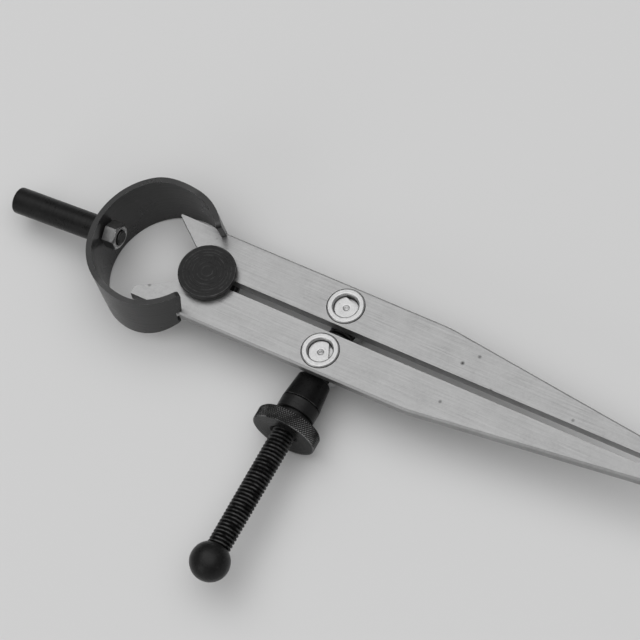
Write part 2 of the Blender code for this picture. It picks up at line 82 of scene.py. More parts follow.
# Fulcrum roller
ROLLER_RADIUS = 7.3
ROLLER_FLANGE = 2.0
ROLLER_SHANK_RADIUS = 4.6
ROLLER_UNDERCUT = 0.75
ROLLER_FACE_EDGE = 0.25
ROLLER_RING_SLOPE = 0.04
# Rings turned into its faces: outer radius, inner radius, and depth
ROLLER_RINGS = ((6.1, 5.9, 0.04), (5.3, 5.1, 0.04), (4.5, 3.6, 0.1), (2.6, 2.4, 0.04), (1.5, 1.3, 0.03))

# Bow spring
BOW_CENTRE_BEHIND = 13.5
BOW_ABOVE_LEGS = 1.0
BOW_LEAN = math.radians(6.8)
BOW_HALF_LENGTH = 16.5
BOW_HALF_WIDTH = 17.6
BOW_WALL = 1.4
BOW_BACK_ABOVE = 8.7
BOW_BACK_BELOW = 8.6
BOW_END_ABOVE = 6.25
BOW_END_BELOW = 4.5
BOW_UPPER_TAPER_START = math.radians(118.0)
BOW_UPPER_TAPER_END = math.radians(78.0)
BOW_LOWER_TAPER_START = math.radians(100.0)
BOW_END_RADIUS = 1.3
BOW_END_LEAN = math.radians(12.0)
BOW_END_LEAN_FADE = math.radians(25.0)
BOW_LEAN_PLAY = LEG_FACE * math.tan(BOW_LEAN)
BOW_NOTCH_INSET = BOW_WALL + SEAT_GAP + BOW_LEAN_PLAY
BOW_SLOT_ANGLE = math.asin((OUTER_EDGE - LEG_NOTCH_DEPTH) / (BOW_HALF_WIDTH - BOW_NOTCH_INSET))
BOW_PRONG_BEYOND_SLOT = math.radians(5.5)
BOW_PRONG_ANGLE = BOW_SLOT_ANGLE - BOW_PRONG_BEYOND_SLOT
BOW_BROKEN_EDGE = 0.22
# Two points for each half, behind the fulcrum and aside; bow_half works them out but does not use them
BOW_BEND_START = (BOW_CENTRE_BEHIND + BOW_HALF_LENGTH - 6.0, 3.0)
BOW_BEND_END = (5.0, 10.0)
NOTCH_FRONT = BOW_HALF_LENGTH * math.cos(BOW_SLOT_ANGLE) - BOW_CENTRE_BEHIND + SEAT_GAP + BOW_LEAN_PLAY

# Handle stem and its nut
STEM_RADIUS = 3.35
STEM_LENGTH = 24.6
STEM_ABOVE_MIDDLE = 2.4
STEM_THREAD_RADIUS = 1.75
STEM_THREAD_PROUD = 0.6
STEM_THREAD_CHAMFER = 0.3
STEM_THREAD_PITCH = 0.7
STEM_THREAD_DEPTH = 0.35
STEM_END_EDGE = 0.7
STEM_NUT_WIDTH = 6.0
STEM_NUT_THICKNESS = 3.4
STEM_NUT_CHAMFER = 0.5
STEM_NUT_FACE_EDGE = 0.25
STEM_NUT_COUNTERSINK = 0.4

# Swivel studs and their washers
STUD_FORWARD = 34.9
STUD_ASIDE = INNER_EDGE + LEG_WIDTH / 2 - PIN_GAP
STUD_PIN_RADIUS = 2.95
STUD_PIN_RECESS = 1.2
STUD_PIN_FLAT = 1.0
STUD_PIN_FLAT_DEPTH = 1.0
STUD_HEAD_RADIUS = 4.5
STUD_FOOT_CHAMFER = 0.5
# Centre mark in the pin's end: radius and depth
STUD_CENTRE_MARK = ((0.85, 0), (0.55, 0.25), (0.3, 0.08), (0, 0.4))
WASHER_RADIUS = LEG_WIDTH / 2 - 0.775
WASHER_THICKNESS = 1.2
WASHER_PROUD = 0.5
WASHER_CHAMFER = 0.3
# Turn of the flat on each pin, by the side of its leg
FLAT_ANGLES = {1: math.radians(70.0), -1: math.radians(25.0)}

# Adjusting screw and ball
SCREW_RADIUS = 3.0
SCREW_BELOW_LEGS = 6.2
SCREW_PITCH = 1.0
SCREW_END_PROUD = 0.9
SCREW_END_CHAMFER = 0.5
SCREW_THREAD_DEPTH = 0.56
SCREW_RINGS_PER_PITCH = 9
SCREW_BORE_RADIUS = SCREW_RADIUS + SEAT_GAP
STUD_BELOW_SCREW = 5.0
STUD_FOOT = -SCREW_BELOW_LEGS - STUD_BELOW_SCREW
BALL_RADIUS = 5.05
BALL_CENTRE = STUD_ASIDE + 64.7
BALL_SOCKET_DEPTH = 5.2
SOCKET_FLOOR = BALL_CENTRE - BALL_RADIUS + BALL_SOCKET_DEPTH

# Bush and nut, placed along the screw from the anchor stud
BUSH_START = 2 * STUD_ASIDE + STUD_HEAD_RADIUS + SEAT_GAP
BUSH_LENGTH = 6.8
BUSH_NARROW_RADIUS = 4.25
BUSH_WIDE_RADIUS = 5.0
BUSH_SEAM = 0.12
BUSH_NARROW_EDGE = 0.4
BUSH_EDGE_RADIUS = 0.5
NUT_START = BUSH_START + BUSH_LENGTH + SEAT_GAP
NUT_HUB_RADIUS = 5.05
NUT_HUB_LENGTH = 3.4
NUT_HUB_FRONT_EDGE = 0.2
NUT_HUB_BACK_EDGE = 0.15
NUT_NECK_RADIUS = 4.2
NUT_NECK_LENGTH = 2.0
NUT_DISC_RADIUS = 8.4
NUT_DISC_THICKNESS = 3.8
NUT_DISC_CHAMFER = 0.5
NUT_DISC_FACE_EDGE = 0.15
NUT_DISC_WORN_RING = 0.12
# Steps turned into the disc's outer face: distance from the bore, and depth
NUT_FACE_STEPS = ((2.2, 0.04), (0.7, 0.25), (0.5, 0.25), (0, 0.8))
KNURL_TEETH = 80.0
KNURL_SLANT_LENGTH = 0.75
KNURL_DEPTH = 0.28


def joint(name):
    return next(item for item in frame["joints"] if item["name"] == name)


def flat_to_world():
    """Matrix from the flat divider, in millimetres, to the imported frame, read from two of its joints."""
    up = Vector(joint("anchor_leg_swing")["axis"]).normalized()
    aside = -Vector(joint("bush_slide")["axis"]).normalized()
    forward = aside.cross(up)
    turn = Matrix((forward, aside, up)).transposed().to_4x4()
    return Matrix.Translation(joint("anchor_leg_swing")["pos_m"]) @ turn @ Matrix.Scale(MM, 4)


FLAT = flat_to_world()
SCREW_AXIS = (
    FLAT
    @ Matrix.Translation((STUD_FORWARD, STUD_ASIDE, -SCREW_BELOW_LEGS))
    @ Matrix.Rotation(QUARTER_TURN, 4, "X")
)
BOW_AXIS = (
    FLAT
    @ Matrix.Translation((-BOW_CENTRE_BEHIND, 0, BOW_ABOVE_LEGS))
    @ Matrix.Rotation(-BOW_LEAN, 4, "Y")
)
STEM_AXIS = (
    BOW_AXIS
    @ Matrix.Translation((0, 0, STEM_ABOVE_MIDDLE))
    @ Matrix.Rotation(-QUARTER_TURN, 4, "Y")
)


def stud_axis(side):
    return FLAT @ Matrix.Translation((STUD_FORWARD, side * STUD_ASIDE, 0))


# Node helpers and shader groups


def wired(tree):
    """Short ways to add a node with its values, and to link two sockets."""

    def add(kind, **values):
        node = tree.nodes.new(kind)
        for key, value in values.items():
            if hasattr(node, key):
                setattr(node, key, value)
            else:
                node.inputs[key.replace("_", " ")].default_value = value
        return node

    return add, tree.links.new


def calculator(add, link):
    """Function that adds a Math node whose inputs are sockets or plain numbers."""

    def calculate(operation, *values, **settings):
        node = add("ShaderNodeMath", operation=operation, **settings)
        for index, value in enumerate(values):
            if isinstance(value, (int, float)):
                node.inputs[index].default_value = value
            else:
                link(value, node.inputs[index])
        return node.outputs[0]

    return calculate


def mapped(add, link, value, span, result=(0.0, 1.0), kind="LINEAR"):
    """The value's place in the first span, carried over to the second."""
    node = add("ShaderNodeMapRange", interpolation_type=kind)
    for label, numbers in (("From", span), ("To", result)):
        node.inputs[label + " Min"].default_value = numbers[0]
        node.inputs[label + " Max"].default_value = numbers[1]
    link(value, node.inputs["Value"])
    return node.outputs["Result"]


def new_group(name, numbers, outputs):
    """Shader group with a vector input, number inputs with their first values, and number outputs."""
    tree = bpy.data.node_groups.new(name, "ShaderNodeTree")
    tree.interface.new_socket("Vector", in_out="INPUT", socket_type="NodeSocketVector")
    for label, value in numbers.items():
        socket = tree.interface.new_socket(label, in_out="INPUT", socket_type="NodeSocketFloat")
        socket.default_value = value
    for label in outputs:
        tree.interface.new_socket(label, in_out="OUTPUT", socket_type="NodeSocketFloat")
    add, link = wired(tree)
    return tree, add, link, add("NodeGroupInput"), add("NodeGroupOutput")


def noise(add, link, place, scale, detail, roughness):
    node = add("ShaderNodeTexNoise", Detail=detail, Roughness=roughness)
    link(place, node.inputs["Vector"])
    link(scale, node.inputs["Scale"])
    return node.outputs["Fac"]


def mottle_group():
    """Cloudy patches and fine specks of a handled steel surface, and small dark pits."""
    first_values = {
        "Cloud Scale": 180.0, "Speck Scale": 1400.0,
        "Cloud Amount": 0.5, "Speck Amount": 0.3, "Pit Amount": 0.5,
    }
    tree, add, link, given, made = new_group("steel_mottle", first_values, ["Shade", "Pits"])
    calculate = calculator(add, link)
    value = given.outputs
    parts = []
    for kind, detail, roughness in (("Cloud", 5.0, 0.6), ("Speck", 3.0, 0.7)):
        shade = noise(add, link, value["Vector"], value[kind + " Scale"], detail, roughness)
        parts.append(calculate("MULTIPLY", calculate("SUBTRACT", shade, 0.5), value[kind + " Amount"]))
    link(calculate("ADD", calculate("ADD", *parts), 1.0), made.inputs["Shade"])
    pit = add("ShaderNodeTexVoronoi", feature="F1", Randomness=1.0)
    link(value["Vector"], pit.inputs["Vector"])
    link(value["Cloud Scale"], pit.inputs["Scale"])
    near = mapped(add, link, pit.outputs["Distance"], (0.1, 0.02))
    link(calculate("MULTIPLY", near, value["Pit Amount"]), made.inputs["Pits"])
    return tree


def wear_group():
    """Mask of bare metal: along the marked edges, broken up by noise, and in a few rubbed patches."""
    first_values = {"Edge": 0.0, "Breakup Scale": 500.0, "Edge Amount": 0.6, "Patch Amount": 0.1}
    tree, add, link, given, made = new_group("edge_wear", first_values, ["Mask"])
    calculate = calculator(add, link)
    value = given.outputs
    breakup = noise(add, link, value["Vector"], value["Breakup Scale"], 6.0, 0.65)
    spread = mapped(add, link, breakup, (0.36, 0.6), kind="SMOOTHSTEP")
    edge = calculate("MULTIPLY", calculate("MULTIPLY", spread, value["Edge"]), value["Edge Amount"])
    rubbed = mapped(add, link, breakup, (0.6, 0.78), kind="SMOOTHSTEP")
    patch = calculate("MULTIPLY", rubbed, value["Patch Amount"])
    link(calculate("MAXIMUM", edge, patch), made.inputs["Mask"])
    return tree


def grain_group():
    """Fine scratches that run along the vector's X direction, as a height."""
    first_values = {"Fineness": 3000.0, "Length Share": 0.02}
    tree, add, link, given, made = new_group("tool_grain", first_values, ["Height"])
    value = given.outputs
    scale = add("ShaderNodeCombineXYZ", Y=1.0, Z=1.0)
    link(value["Length Share"], scale.inputs["X"])
    stretch = add("ShaderNodeVectorMath", operation="MULTIPLY")
    link(value["Vector"], stretch.inputs[0])
    link(scale.outputs[0], stretch.inputs[1])
    link(noise(add, link, stretch.outputs[0], value["Fineness"], 3.0, 0.6), made.inputs["Height"])
    return tree


MOTTLE = mottle_group()
WEAR = wear_group()
GRAIN = grain_group()
GRAIN_DEPTH = 0.2 * MM

# Each finish: its coat and the bare metal under it. Clouds and specks are (scale, amount), edges are
# (breakup scale, amount), and grain is (fineness, length share, strength).
FINISHES = {
    "ground_leg_steel": {
        "coat": 0.3, "bare": 0.55, "metal": 0.9, "bare_metal": 0.9,
        "rough": 0.4, "bare_rough": 0.34, "specular": 0.5,
        "clouds": (150.0, 0.8), "specks": (1300.0, 0.4), "pits": 0.9,
        "edges": (420.0, 0.6), "patches": 0.0, "grain": (1800.0, 0.04, 0.2),
    },
    "turned_bright_steel": {
        "coat": 0.46, "bare": 0.6, "metal": 0.9, "bare_metal": 1.0,
        "rough": 0.4, "bare_rough": 0.26, "specular": 0.5,
        "clouds": (500.0, 0.7), "specks": (1800.0, 0.6), "pits": 0.5,
        "edges": (900.0, 0.3), "patches": 0.0, "grain": (3500.0, 0.5, 0.2),
    },
    "oiled_black_steel": {
        "coat": 0.009, "bare": 0.35, "metal": 0.0, "bare_metal": 0.2,
        "rough": 0.32, "bare_rough": 0.3, "specular": 0.16,
        "clouds": (300.0, 0.9), "specks": (1800.0, 0.9), "pits": 0.0,
        "edges": (600.0, 0.16), "patches": 0.05, "grain": (2600.0, 0.05, 0.35),
    },
    "blackened_screw_steel": {
        "coat": 0.005, "bare": 0.3, "metal": 0.0, "bare_metal": 0.2,
        "rough": 0.3, "bare_rough": 0.3, "specular": 0.1,
        "clouds": (500.0, 0.8), "specks": (2200.0, 0.8), "pits": 0.0,
        "edges": (500.0, 0.2), "patches": 0.03, "grain": (3000.0, 0.4, 0.05),
    },
    "knurled_black": {
        "coat": 0.01, "bare": 0.5, "metal": 0.0, "bare_metal": 0.3,
        "rough": 0.32, "bare_rough": 0.3, "specular": 0.16,
        "clouds": (300.0, 0.9), "specks": (1800.0, 0.9), "pits": 0.0,
        "edges": (240.0, 0.5), "patches": 0.03, "grain": (2600.0, 0.05, 0.3),
    },
    "tempered_bow_steel": {
        "coat": 0.022, "bare": 0.6, "metal": 0.0, "bare_metal": 0.15,
        "rough": 0.32, "bare_rough": 0.28, "specular": 0.35,
        "clouds": (160.0, 0.8), "specks": (1500.0, 0.6), "pits": 0.0,
        "edges": (300.0, 0.75), "patches": 0.02, "grain": (1500.0, 0.05, 0.2),
    },
    "bright_zinc": {
        "coat": 0.32, "bare": 0.75, "metal": 0.95, "bare_metal": 1.0,
        "rough": 0.34, "bare_rough": 0.2, "specular": 0.5,
        "clouds": (700.0, 0.7), "specks": (2500.0, 0.5), "pits": 0.2,
        "edges": (900.0, 0.9), "patches": 0.1, "grain": (2500.0, 0.05, 0.1),
    },
}


def steel_finish(name):
    """Material of one finish. Its edges come from the mesh's own edge attribute."""
    made = bpy.data.materials.get(name)
    if made:
        return made
    look = FINISHES[name]
    material = bpy.data.materials.new(name)
    material.use_nodes = True
    tree = material.node_tree
    add, link = wired(tree)
    calculate = calculator(add, link)
    shader = tree.nodes["Principled BSDF"]
    shader.inputs["Specular IOR Level"].default_value = look["specular"]
    place = add("ShaderNodeTexCoord").outputs["Object"]

    def group(kind, vector, **values):
        node = add("ShaderNodeGroup", node_tree=kind)
        for key, value in values.items():
            node.inputs[key.replace("_", " ")].default_value = value
        link(vector, node.inputs["Vector"])
        return node

    mottle = group(
        MOTTLE, place, Pit_Amount=look["pits"],
        Cloud_Scale=look["clouds"][0], Cloud_Amount=look["clouds"][1],
        Speck_Scale=look["specks"][0], Speck_Amount=look["specks"][1],
    )
    wear = group(
        WEAR, place, Breakup_Scale=look["edges"][0], Edge_Amount=look["edges"][1],
        Patch_Amount=look["patches"],
    )
    link(add("ShaderNodeAttribute", attribute_name="edge").outputs["Fac"], wear.inputs["Edge"])
    shade, mask = mottle.outputs["Shade"], wear.outputs["Mask"]

    mix = add("ShaderNodeMix", data_type="RGBA")
    sockets = [item for item in mix.inputs if item.type == "RGBA"]
    sockets[0].default_value = (look["coat"],) * 3 + (1,)
    sockets[1].default_value = (look["bare"],) * 3 + (1,)
    link(mask, mix.inputs["Factor"])
    colour = next(item for item in mix.outputs if item.type == "RGBA")
    for strength in (shade, calculate("SUBTRACT", 1.0, mottle.outputs["Pits"], use_clamp=True)):
        scaled = add("ShaderNodeVectorMath", operation="SCALE")
        link(colour, scaled.inputs[0])
        link(strength, scaled.inputs["Scale"])
        colour = scaled.outputs[0]
    link(colour, shader.inputs["Base Color"])

    metal = mapped(add, link, mask, (0.0, 1.0), (look["metal"], look["bare_metal"]))
    link(metal, shader.inputs["Metallic"])
    rough = mapped(add, link, mask, (0.0, 1.0), (look["rough"], look["bare_rough"]))
    link(calculate("MULTIPLY", rough, shade), shader.inputs["Roughness"])

    fineness, length_share, strength = look["grain"]
    tool_path = add("ShaderNodeAttribute", attribute_name="tool_path").outputs["Vector"]
    grain = group(GRAIN, tool_path, Fineness=fineness, Length_Share=length_share)
    bump = add("ShaderNodeBump", Strength=strength, Distance=GRAIN_DEPTH)
    link(grain.outputs["Height"], bump.inputs["Height"])
    link(bump.outputs["Normal"], shader.inputs["Normal"])
    return material


# Shapes


def softened(outline, size):
    """Closed lathe outline with its corners rounded. Each point is (radius, height, edge)."""
    made = []
    count = len(outline)
    for index, here in enumerate(outline):
        here = Vector(here)
        before = Vector(outline[index - 1]) - here
        after = Vector(outline[(index + 1) % count]) - here
        on_axis = here.x == 0
        bend = math.pi - before.angle(after) if before.length and after.length else 0
        if on_axis or bend < math.radians(15.0):
            made.append((here.x, here.y, 0.0))
            continue
        reach = min(size, before.length * 0.3, after.length * 0.3)
        start = here + before.normalized() * reach
        end = here + after.normalized() * reach
        support = reach * 0.5
        outer = start + before.normalized() * support
        made.append((outer.x, outer.y, 0.0))
        for step in range(4):
            share = step / 3
            spot = start * (1 - share) ** 2 + here * 2 * share * (1 - share) + end * share**2
            made.append((spot.x, spot.y, 1.0))
        outer = end + after.normalized() * support
        made.append((outer.x, outer.y, 0.0))
    return made


def lathe(outline, steps, soft=0.15):
    """Bmesh turned about Z from a closed outline. A third value of 1 marks the points of a worn edge."""
    shape = bmesh.new()
    layer = shape.faces.layers.float.new("edge")
    points = softened(outline, soft) if soft else [(*spot, 0.0)[:3] for spot in outline]
    rings = []
    for radius, height, _ in points:
        if radius < 1e-6:
            rings.append([shape.verts.new((0, 0, height))])
            continue
        rings.append([
            shape.verts.new((
                radius * math.cos(math.tau * step / steps),
                radius * math.sin(math.tau * step / steps),
                height,
            ))
            for step in range(steps)
        ])
    for index, ring in enumerate(rings):
        following = rings[(index + 1) % len(rings)]
        worn = min(points[index][2], points[(index + 1) % len(points)][2])
        if len(ring) == 1 and len(following) == 1:
            continue
        for step in range(steps):
            corners = [
                ring[step % len(ring)],
                ring[(step + 1) % len(ring)],
                following[(step + 1) % len(following)],
                following[step % len(following)],
            ]
            face = shape.faces.new(list(dict.fromkeys(corners)))
            face[layer] = worn
    bmesh.ops.recalc_face_normals(shape, faces=shape.faces)
    return shape


def working_object(name, shape):
    mesh = bpy.data.meshes.new(name)
    shape.to_mesh(mesh)
    shape.free()
    item = bpy.data.objects.new(name, mesh)
    bpy.context.scene.collection.objects.link(item)
    return item


def turned_path(spot):
    return (spot.x, math.hypot(spot.x, spot.y), spot.z)


def straight_path(spot):
    return spot


def bow_path(spot):
    return (math.atan2(spot.y, -spot.x) * BOW_HALF_WIDTH, 0, spot.z)


def write_tool_path(mesh, path):
    """Stores where the tool that finished the surface has passed: its marks run along the first value."""
    attribute = mesh.attributes.new("tool_path", "FLOAT_VECTOR", "POINT")
    values = []
    for vert in mesh.vertices:
        values += [number * MM for number in path(vert.co)]
    attribute.data.foreach_set("vector", values)


def broken_edges(item, width, degrees=30.0):
    """Rounds the sharp edges. The new faces are marked by a second material."""
    for mark in ("body_mark", "edge_mark"):
        item.data.materials.append(bpy.data.materials.get(mark) or bpy.data.materials.new(mark))
    bevel = item.modifiers.new("broken_edges", "BEVEL")
    bevel.width = width
    bevel.segments = 3
    bevel.limit_method = "ANGLE"
    bevel.angle_limit = math.radians(degrees)
    bevel.material = 1


def mark_edges(mesh):
    """Writes the edge attribute from the second material's faces, and evens the shading at the edges."""
    worn = [face.material_index == 1 for face in mesh.polygons]
    old = mesh.attributes.get("edge")
    if old:
        mesh.attributes.remove(old)
    attribute = mesh.attributes.new("edge", "FLOAT", "FACE")
    attribute.data.foreach_set("value", [float(value) for value in worn])
    even_shading(mesh, worn)
    for face in mesh.polygons:
        face.material_index = 0


def even_shading(mesh, worn, bend=math.radians(28.0)):
    """Keeps wide faces flat up to their rounded edges, which turn evenly. Gentle bends are shaded as one."""
    mesh.shade_smooth()
    around = [[] for _ in mesh.vertices]
    for face in mesh.polygons:
        for index in face.vertices:
            around[index].append(face.index)
    flats = [face.normal.copy() for face in mesh.polygons]
    normals = [None] * len(mesh.loops)
    for face in mesh.polygons:
        for loop in face.loop_indices:
            near = around[mesh.loops[loop].vertex_index]
            wide = [index for index in near if not worn[index]]
            if worn[face.index]:
                chosen = [index for index in near if worn[index]]
            else:
                chosen = [index for index in wide if flats[index].angle(flats[face.index], 0) < bend]
            total = sum((flats[index] * mesh.polygons[index].area for index in chosen), Vector())
            normals[loop] = (total if total.length else flats[face.index]).normalized()
    mesh.normals_split_custom_set(normals)


def bake(item, place, finish_name, helpers=(), path=turned_path):
    """Plain mesh from the evaluated object, moved to its place, with its finish."""
    bpy.context.view_layer.update()
    graph = bpy.context.evaluated_depsgraph_get()
    mesh = bpy.data.meshes.new_from_object(item.evaluated_get(graph), depsgraph=graph)
    name = item.name
    for used in (item, *helpers):
        bpy.data.objects.remove(used, do_unlink=True)
    write_tool_path(mesh, path)
    mesh.transform(place)
    if "edge_mark" in mesh.materials:
        mark_edges(mesh)
    mesh.materials.clear()
    mesh.materials.append(steel_finish(finish_name))
    piece = bpy.data.objects.new(name, mesh)
    bpy.context.scene.collection.objects.link(piece)
    piece.name = name
    return piece


def show(piece, body, finish_name, *nodes):
    """Rides on its body and stands for its CAD nodes."""
    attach(piece, body)
    if nodes:
        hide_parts(*nodes)
    return piece


def smooth(mesh, degrees=38.0):
    mesh.shade_smooth()
    mesh.set_sharp_from_angle(angle=math.radians(degrees))


def turned_piece(name, outline, place, finish_name, body, nodes, steps=96, soft=0.15, tree=None):
    """Lathe piece, with an optional Geometry Nodes tree that works on its surface."""
    item = working_object(name, lathe(outline, steps, soft))
    if tree:
        add_nodes(item, *tree)
    piece = bake(item, place, finish_name)
    smooth(piece.data)
    return show(piece, body, finish_name, *nodes)


# Geometry Nodes


def geometry_tree(name, inputs):
    tree = bpy.data.node_groups.new(name, "GeometryNodeTree")
    tree.interface.new_socket("Geometry", in_out="INPUT", socket_type="NodeSocketGeometry")
    for label in inputs:
        tree.interface.new_socket(label, in_out="INPUT", socket_type="NodeSocketFloat")
    tree.interface.new_socket("Finish", in_out="INPUT", socket_type="NodeSocketMaterial")
    tree.interface.new_socket("Geometry", in_out="OUTPUT", socket_type="NodeSocketGeometry")
    add, link = wired(tree)
    return tree, add, link, add("NodeGroupInput"), add("NodeGroupOutput")


def around_axis(add, link, calculate):
    """Radius, turn (one per revolution), and height of each point, and its direction outwards."""
    position = add("GeometryNodeInputPosition").outputs[0]
    split = add("ShaderNodeSeparateXYZ")
    link(position, split.inputs[0])
    x, y, z = split.outputs
    radius = calculate("SQRT", calculate("ADD", calculate("MULTIPLY", x, x), calculate("MULTIPLY", y, y)))
    turn = calculate("DIVIDE", calculate("ARCTAN2", y, x), math.tau)
    return radius, turn, z, x, y


def band(calculate, height, low, high, fade):
    """One between the low and high heights, fading out over the given length at both."""
    rise = calculate("DIVIDE", calculate("SUBTRACT", height, low), fade)
    fall = calculate("DIVIDE", calculate("SUBTRACT", high, height), fade)
    inside = calculate("MINIMUM", rise, fall)
    return calculate("MINIMUM", calculate("MAXIMUM", inside, 0.0), 1.0)


def move_inwards(add, link, calculate, given, made, radius, x, y, depth, crest):
    """Ends a tree by moving each point towards the axis, marking the crests, and setting the finish."""
    share = calculate("DIVIDE", depth, calculate("MAXIMUM", radius, 0.01))
    offset = add("ShaderNodeCombineXYZ")
    link(calculate("MULTIPLY", calculate("MULTIPLY", x, share), -1.0), offset.inputs["X"])
    link(calculate("MULTIPLY", calculate("MULTIPLY", y, share), -1.0), offset.inputs["Y"])
    shift = add("GeometryNodeSetPosition")
    link(given.outputs["Geometry"], shift.inputs["Geometry"])
    link(offset.outputs[0], shift.inputs["Offset"])
    marked = add("GeometryNodeStoreNamedAttribute", data_type="FLOAT", domain="POINT")
    marked.inputs["Name"].default_value = "edge"
    link(shift.outputs[0], marked.inputs["Geometry"])
    link(crest, marked.inputs["Value"])
    real = add("GeometryNodeRealizeInstances")
    link(marked.outputs[0], real.inputs[0])
    painted = add("GeometryNodeSetMaterial")
    link(real.outputs[0], painted.inputs["Geometry"])
    link(given.outputs["Finish"], painted.inputs["Material"])
    link(painted.outputs[0], made.inputs[0])


def thread_tree():
    """Cuts one helical V groove with flattened crests along a round rod."""
    tree, add, link, given, made = geometry_tree(
        "helical_thread", ["Pitch", "Depth", "Low", "High", "Fade", "Least Radius"]
    )
    calculate = calculator(add, link)
    radius, turn, height, x, y = around_axis(add, link, calculate)
    value = given.outputs
    phase = calculate("SUBTRACT", calculate("DIVIDE", height, value["Pitch"]), turn)
    wave = calculate("MULTIPLY", calculate("PINGPONG", phase, 0.5), 2.6)
    groove = calculate("SUBTRACT", 1.0, calculate("MINIMUM", wave, 1.0))
    groove = calculate("MINIMUM", calculate("MULTIPLY", groove, 1.15), 1.0)
    inside = band(calculate, height, value["Low"], value["High"], value["Fade"])
    outer = calculate("GREATER_THAN", radius, value["Least Radius"])
    depth = calculate("MULTIPLY", calculate("MULTIPLY", groove, value["Depth"]), inside)
    depth = calculate("MULTIPLY", depth, outer)
    old = add("GeometryNodeInputNamedAttribute", data_type="FLOAT")
    old.inputs["Name"].default_value = "edge"
    # Crest lines stored as the edge mark, which the finish turns lighter and barer: worn crests, and a
    # painted glint along them
    narrow = calculate("MAXIMUM", calculate("SUBTRACT", 1.0, calculate("MULTIPLY", groove, 4.0)), 0.0)
    crest = calculate("MULTIPLY", narrow, calculate("MULTIPLY", inside, outer))
    crest = calculate("MAXIMUM", crest, old.outputs["Attribute"])
    move_inwards(add, link, calculate, given, made, radius, x, y, depth, crest)
    return tree


def knurl_tree():
    """Presses two crossing sets of slanted grooves into a round rim, which leaves diamonds."""
    tree, add, link, given, made = geometry_tree(
        "diamond_knurl", ["Teeth", "Slant Length", "Depth", "Low", "High", "Fade", "Least Radius"]
    )
    calculate = calculator(add, link)
    radius, turn, height, x, y = around_axis(add, link, calculate)
    value = given.outputs
    along = calculate("MULTIPLY", turn, value["Teeth"])
    rise = calculate("DIVIDE", height, value["Slant Length"])
    one = calculate("PINGPONG", calculate("ADD", along, rise), 0.5)
    other = calculate("PINGPONG", calculate("SUBTRACT", along, rise), 0.5)
    tooth = calculate("MULTIPLY", calculate("MINIMUM", one, other), 2.4)
    groove = calculate("SUBTRACT", 1.0, calculate("MINIMUM", tooth, 1.0))
    inside = band(calculate, height, value["Low"], value["High"], value["Fade"])
    outer = calculate("GREATER_THAN", radius, value["Least Radius"])
    depth = calculate("MULTIPLY", calculate("MULTIPLY", groove, value["Depth"]), inside)
    depth = calculate("MULTIPLY", depth, outer)
    old = add("GeometryNodeInputNamedAttribute", data_type="FLOAT")
    old.inputs["Name"].default_value = "edge"
    top = calculate("SUBTRACT", 1.0, groove)
    narrow = calculate("MAXIMUM", calculate("SUBTRACT", calculate("MULTIPLY", top, 2.0), 1.0), 0.0)
    crest = calculate("MULTIPLY", narrow, calculate("MULTIPLY", inside, outer))
    worn = calculate("MINIMUM", calculate("MULTIPLY", top, 1.6), 1.0)
    worn = calculate("MULTIPLY", worn, old.outputs["Attribute"])
    crest = calculate("MAXIMUM", crest, calculate("MULTIPLY", worn, 2.0))
    move_inwards(add, link, calculate, given, made, radius, x, y, depth, crest)
    return tree


THREAD = thread_tree()
KNURL = knurl_tree()


def add_nodes(item, tree, finish_name, values):
    modifier = item.modifiers.new(tree.name, "NODES")
    modifier.node_group = tree
    for socket in tree.interface.items_tree:
        if socket.in_out == "INPUT" and socket.name in values:
            modifier[socket.identifier] = values[socket.name]
        if socket.in_out == "INPUT" and socket.name == "Finish":
            modifier[socket.identifier] = steel_finish(finish_name)


# Outlines of the flat pieces


def on_circle(centre, radius, angle):
    return (centre[0] + radius * math.cos(angle), centre[1] + radius * math.sin(angle))


def arc(centre, radius, first, last, steps):
    return [
        on_circle(centre, radius, first + (last - first) * step / steps)
        for step in range(steps + 1)
    ]


def rounded(before, corner, after, radius, steps):
    corner = Vector(corner)
    back = (Vector(before) - corner).normalized()
    ahead = (Vector(after) - corner).normalized()
    half = back.angle(ahead) / 2
    centre = corner + (back + ahead).normalized() * (radius / math.sin(half))
    start = corner + back * (radius / math.tan(half)) - centre
    sweep = math.pi - 2 * half
    turn = math.copysign(sweep, -(back.x * ahead.y - back.y * ahead.x))
    return [
        tuple(centre + Matrix.Rotation(turn * step / steps, 2) @ start)
        for step in range(steps + 1)
    ]


def on_bow(inset, angle):
    return (
        (BOW_HALF_LENGTH - inset) * math.cos(angle),
        (BOW_HALF_WIDTH - inset) * math.sin(angle),
    )


def leg_outline(horn):
    seat_radius = ROLLER_SHANK_RADIUS + SEAT_GAP
    seat = arc((0, 0), seat_radius, math.asin(INNER_EDGE / seat_radius), horn["seat_angle"], 24)
    tip = (-horn["reach"], OUTER_EDGE - horn["end"])
    corner = (-horn["reach"], OUTER_EDGE)
    notch_back = math.asin(OUTER_EDGE / (BOW_HALF_WIDTH - BOW_NOTCH_INSET))
    notch = []
    for step in range(5):
        x, y = on_bow(BOW_NOTCH_INSET, notch_back + (BOW_SLOT_ANGLE - notch_back) * step / 4)
        notch.append((x - BOW_CENTRE_BEHIND, y))
    notch += [(NOTCH_FRONT, notch[-1][1]), (NOTCH_FRONT, OUTER_EDGE)]
    point = [(LEG_REACH, INNER_EDGE + POINT_SIZE), (LEG_REACH, INNER_EDGE)]
    bend = rounded(notch[-1], (TAPER_START, OUTER_EDGE), point[0], TAPER_CORNER_RADIUS, 10)
    return seat + [tip, corner] + notch + bend + point


def plate(outline, bottom, top):
    shape = bmesh.new()
    face = shape.faces.new([shape.verts.new((x, y, bottom)) for x, y in outline])
    made = bmesh.ops.extrude_face_region(shape, geom=[face])
    raised = [item for item in made["geom"] if isinstance(item, bmesh.types.BMVert)]
    bmesh.ops.translate(shape, vec=(0, 0, top - bottom), verts=raised)
    bmesh.ops.recalc_face_normals(shape, faces=shape.faces)
    return shape


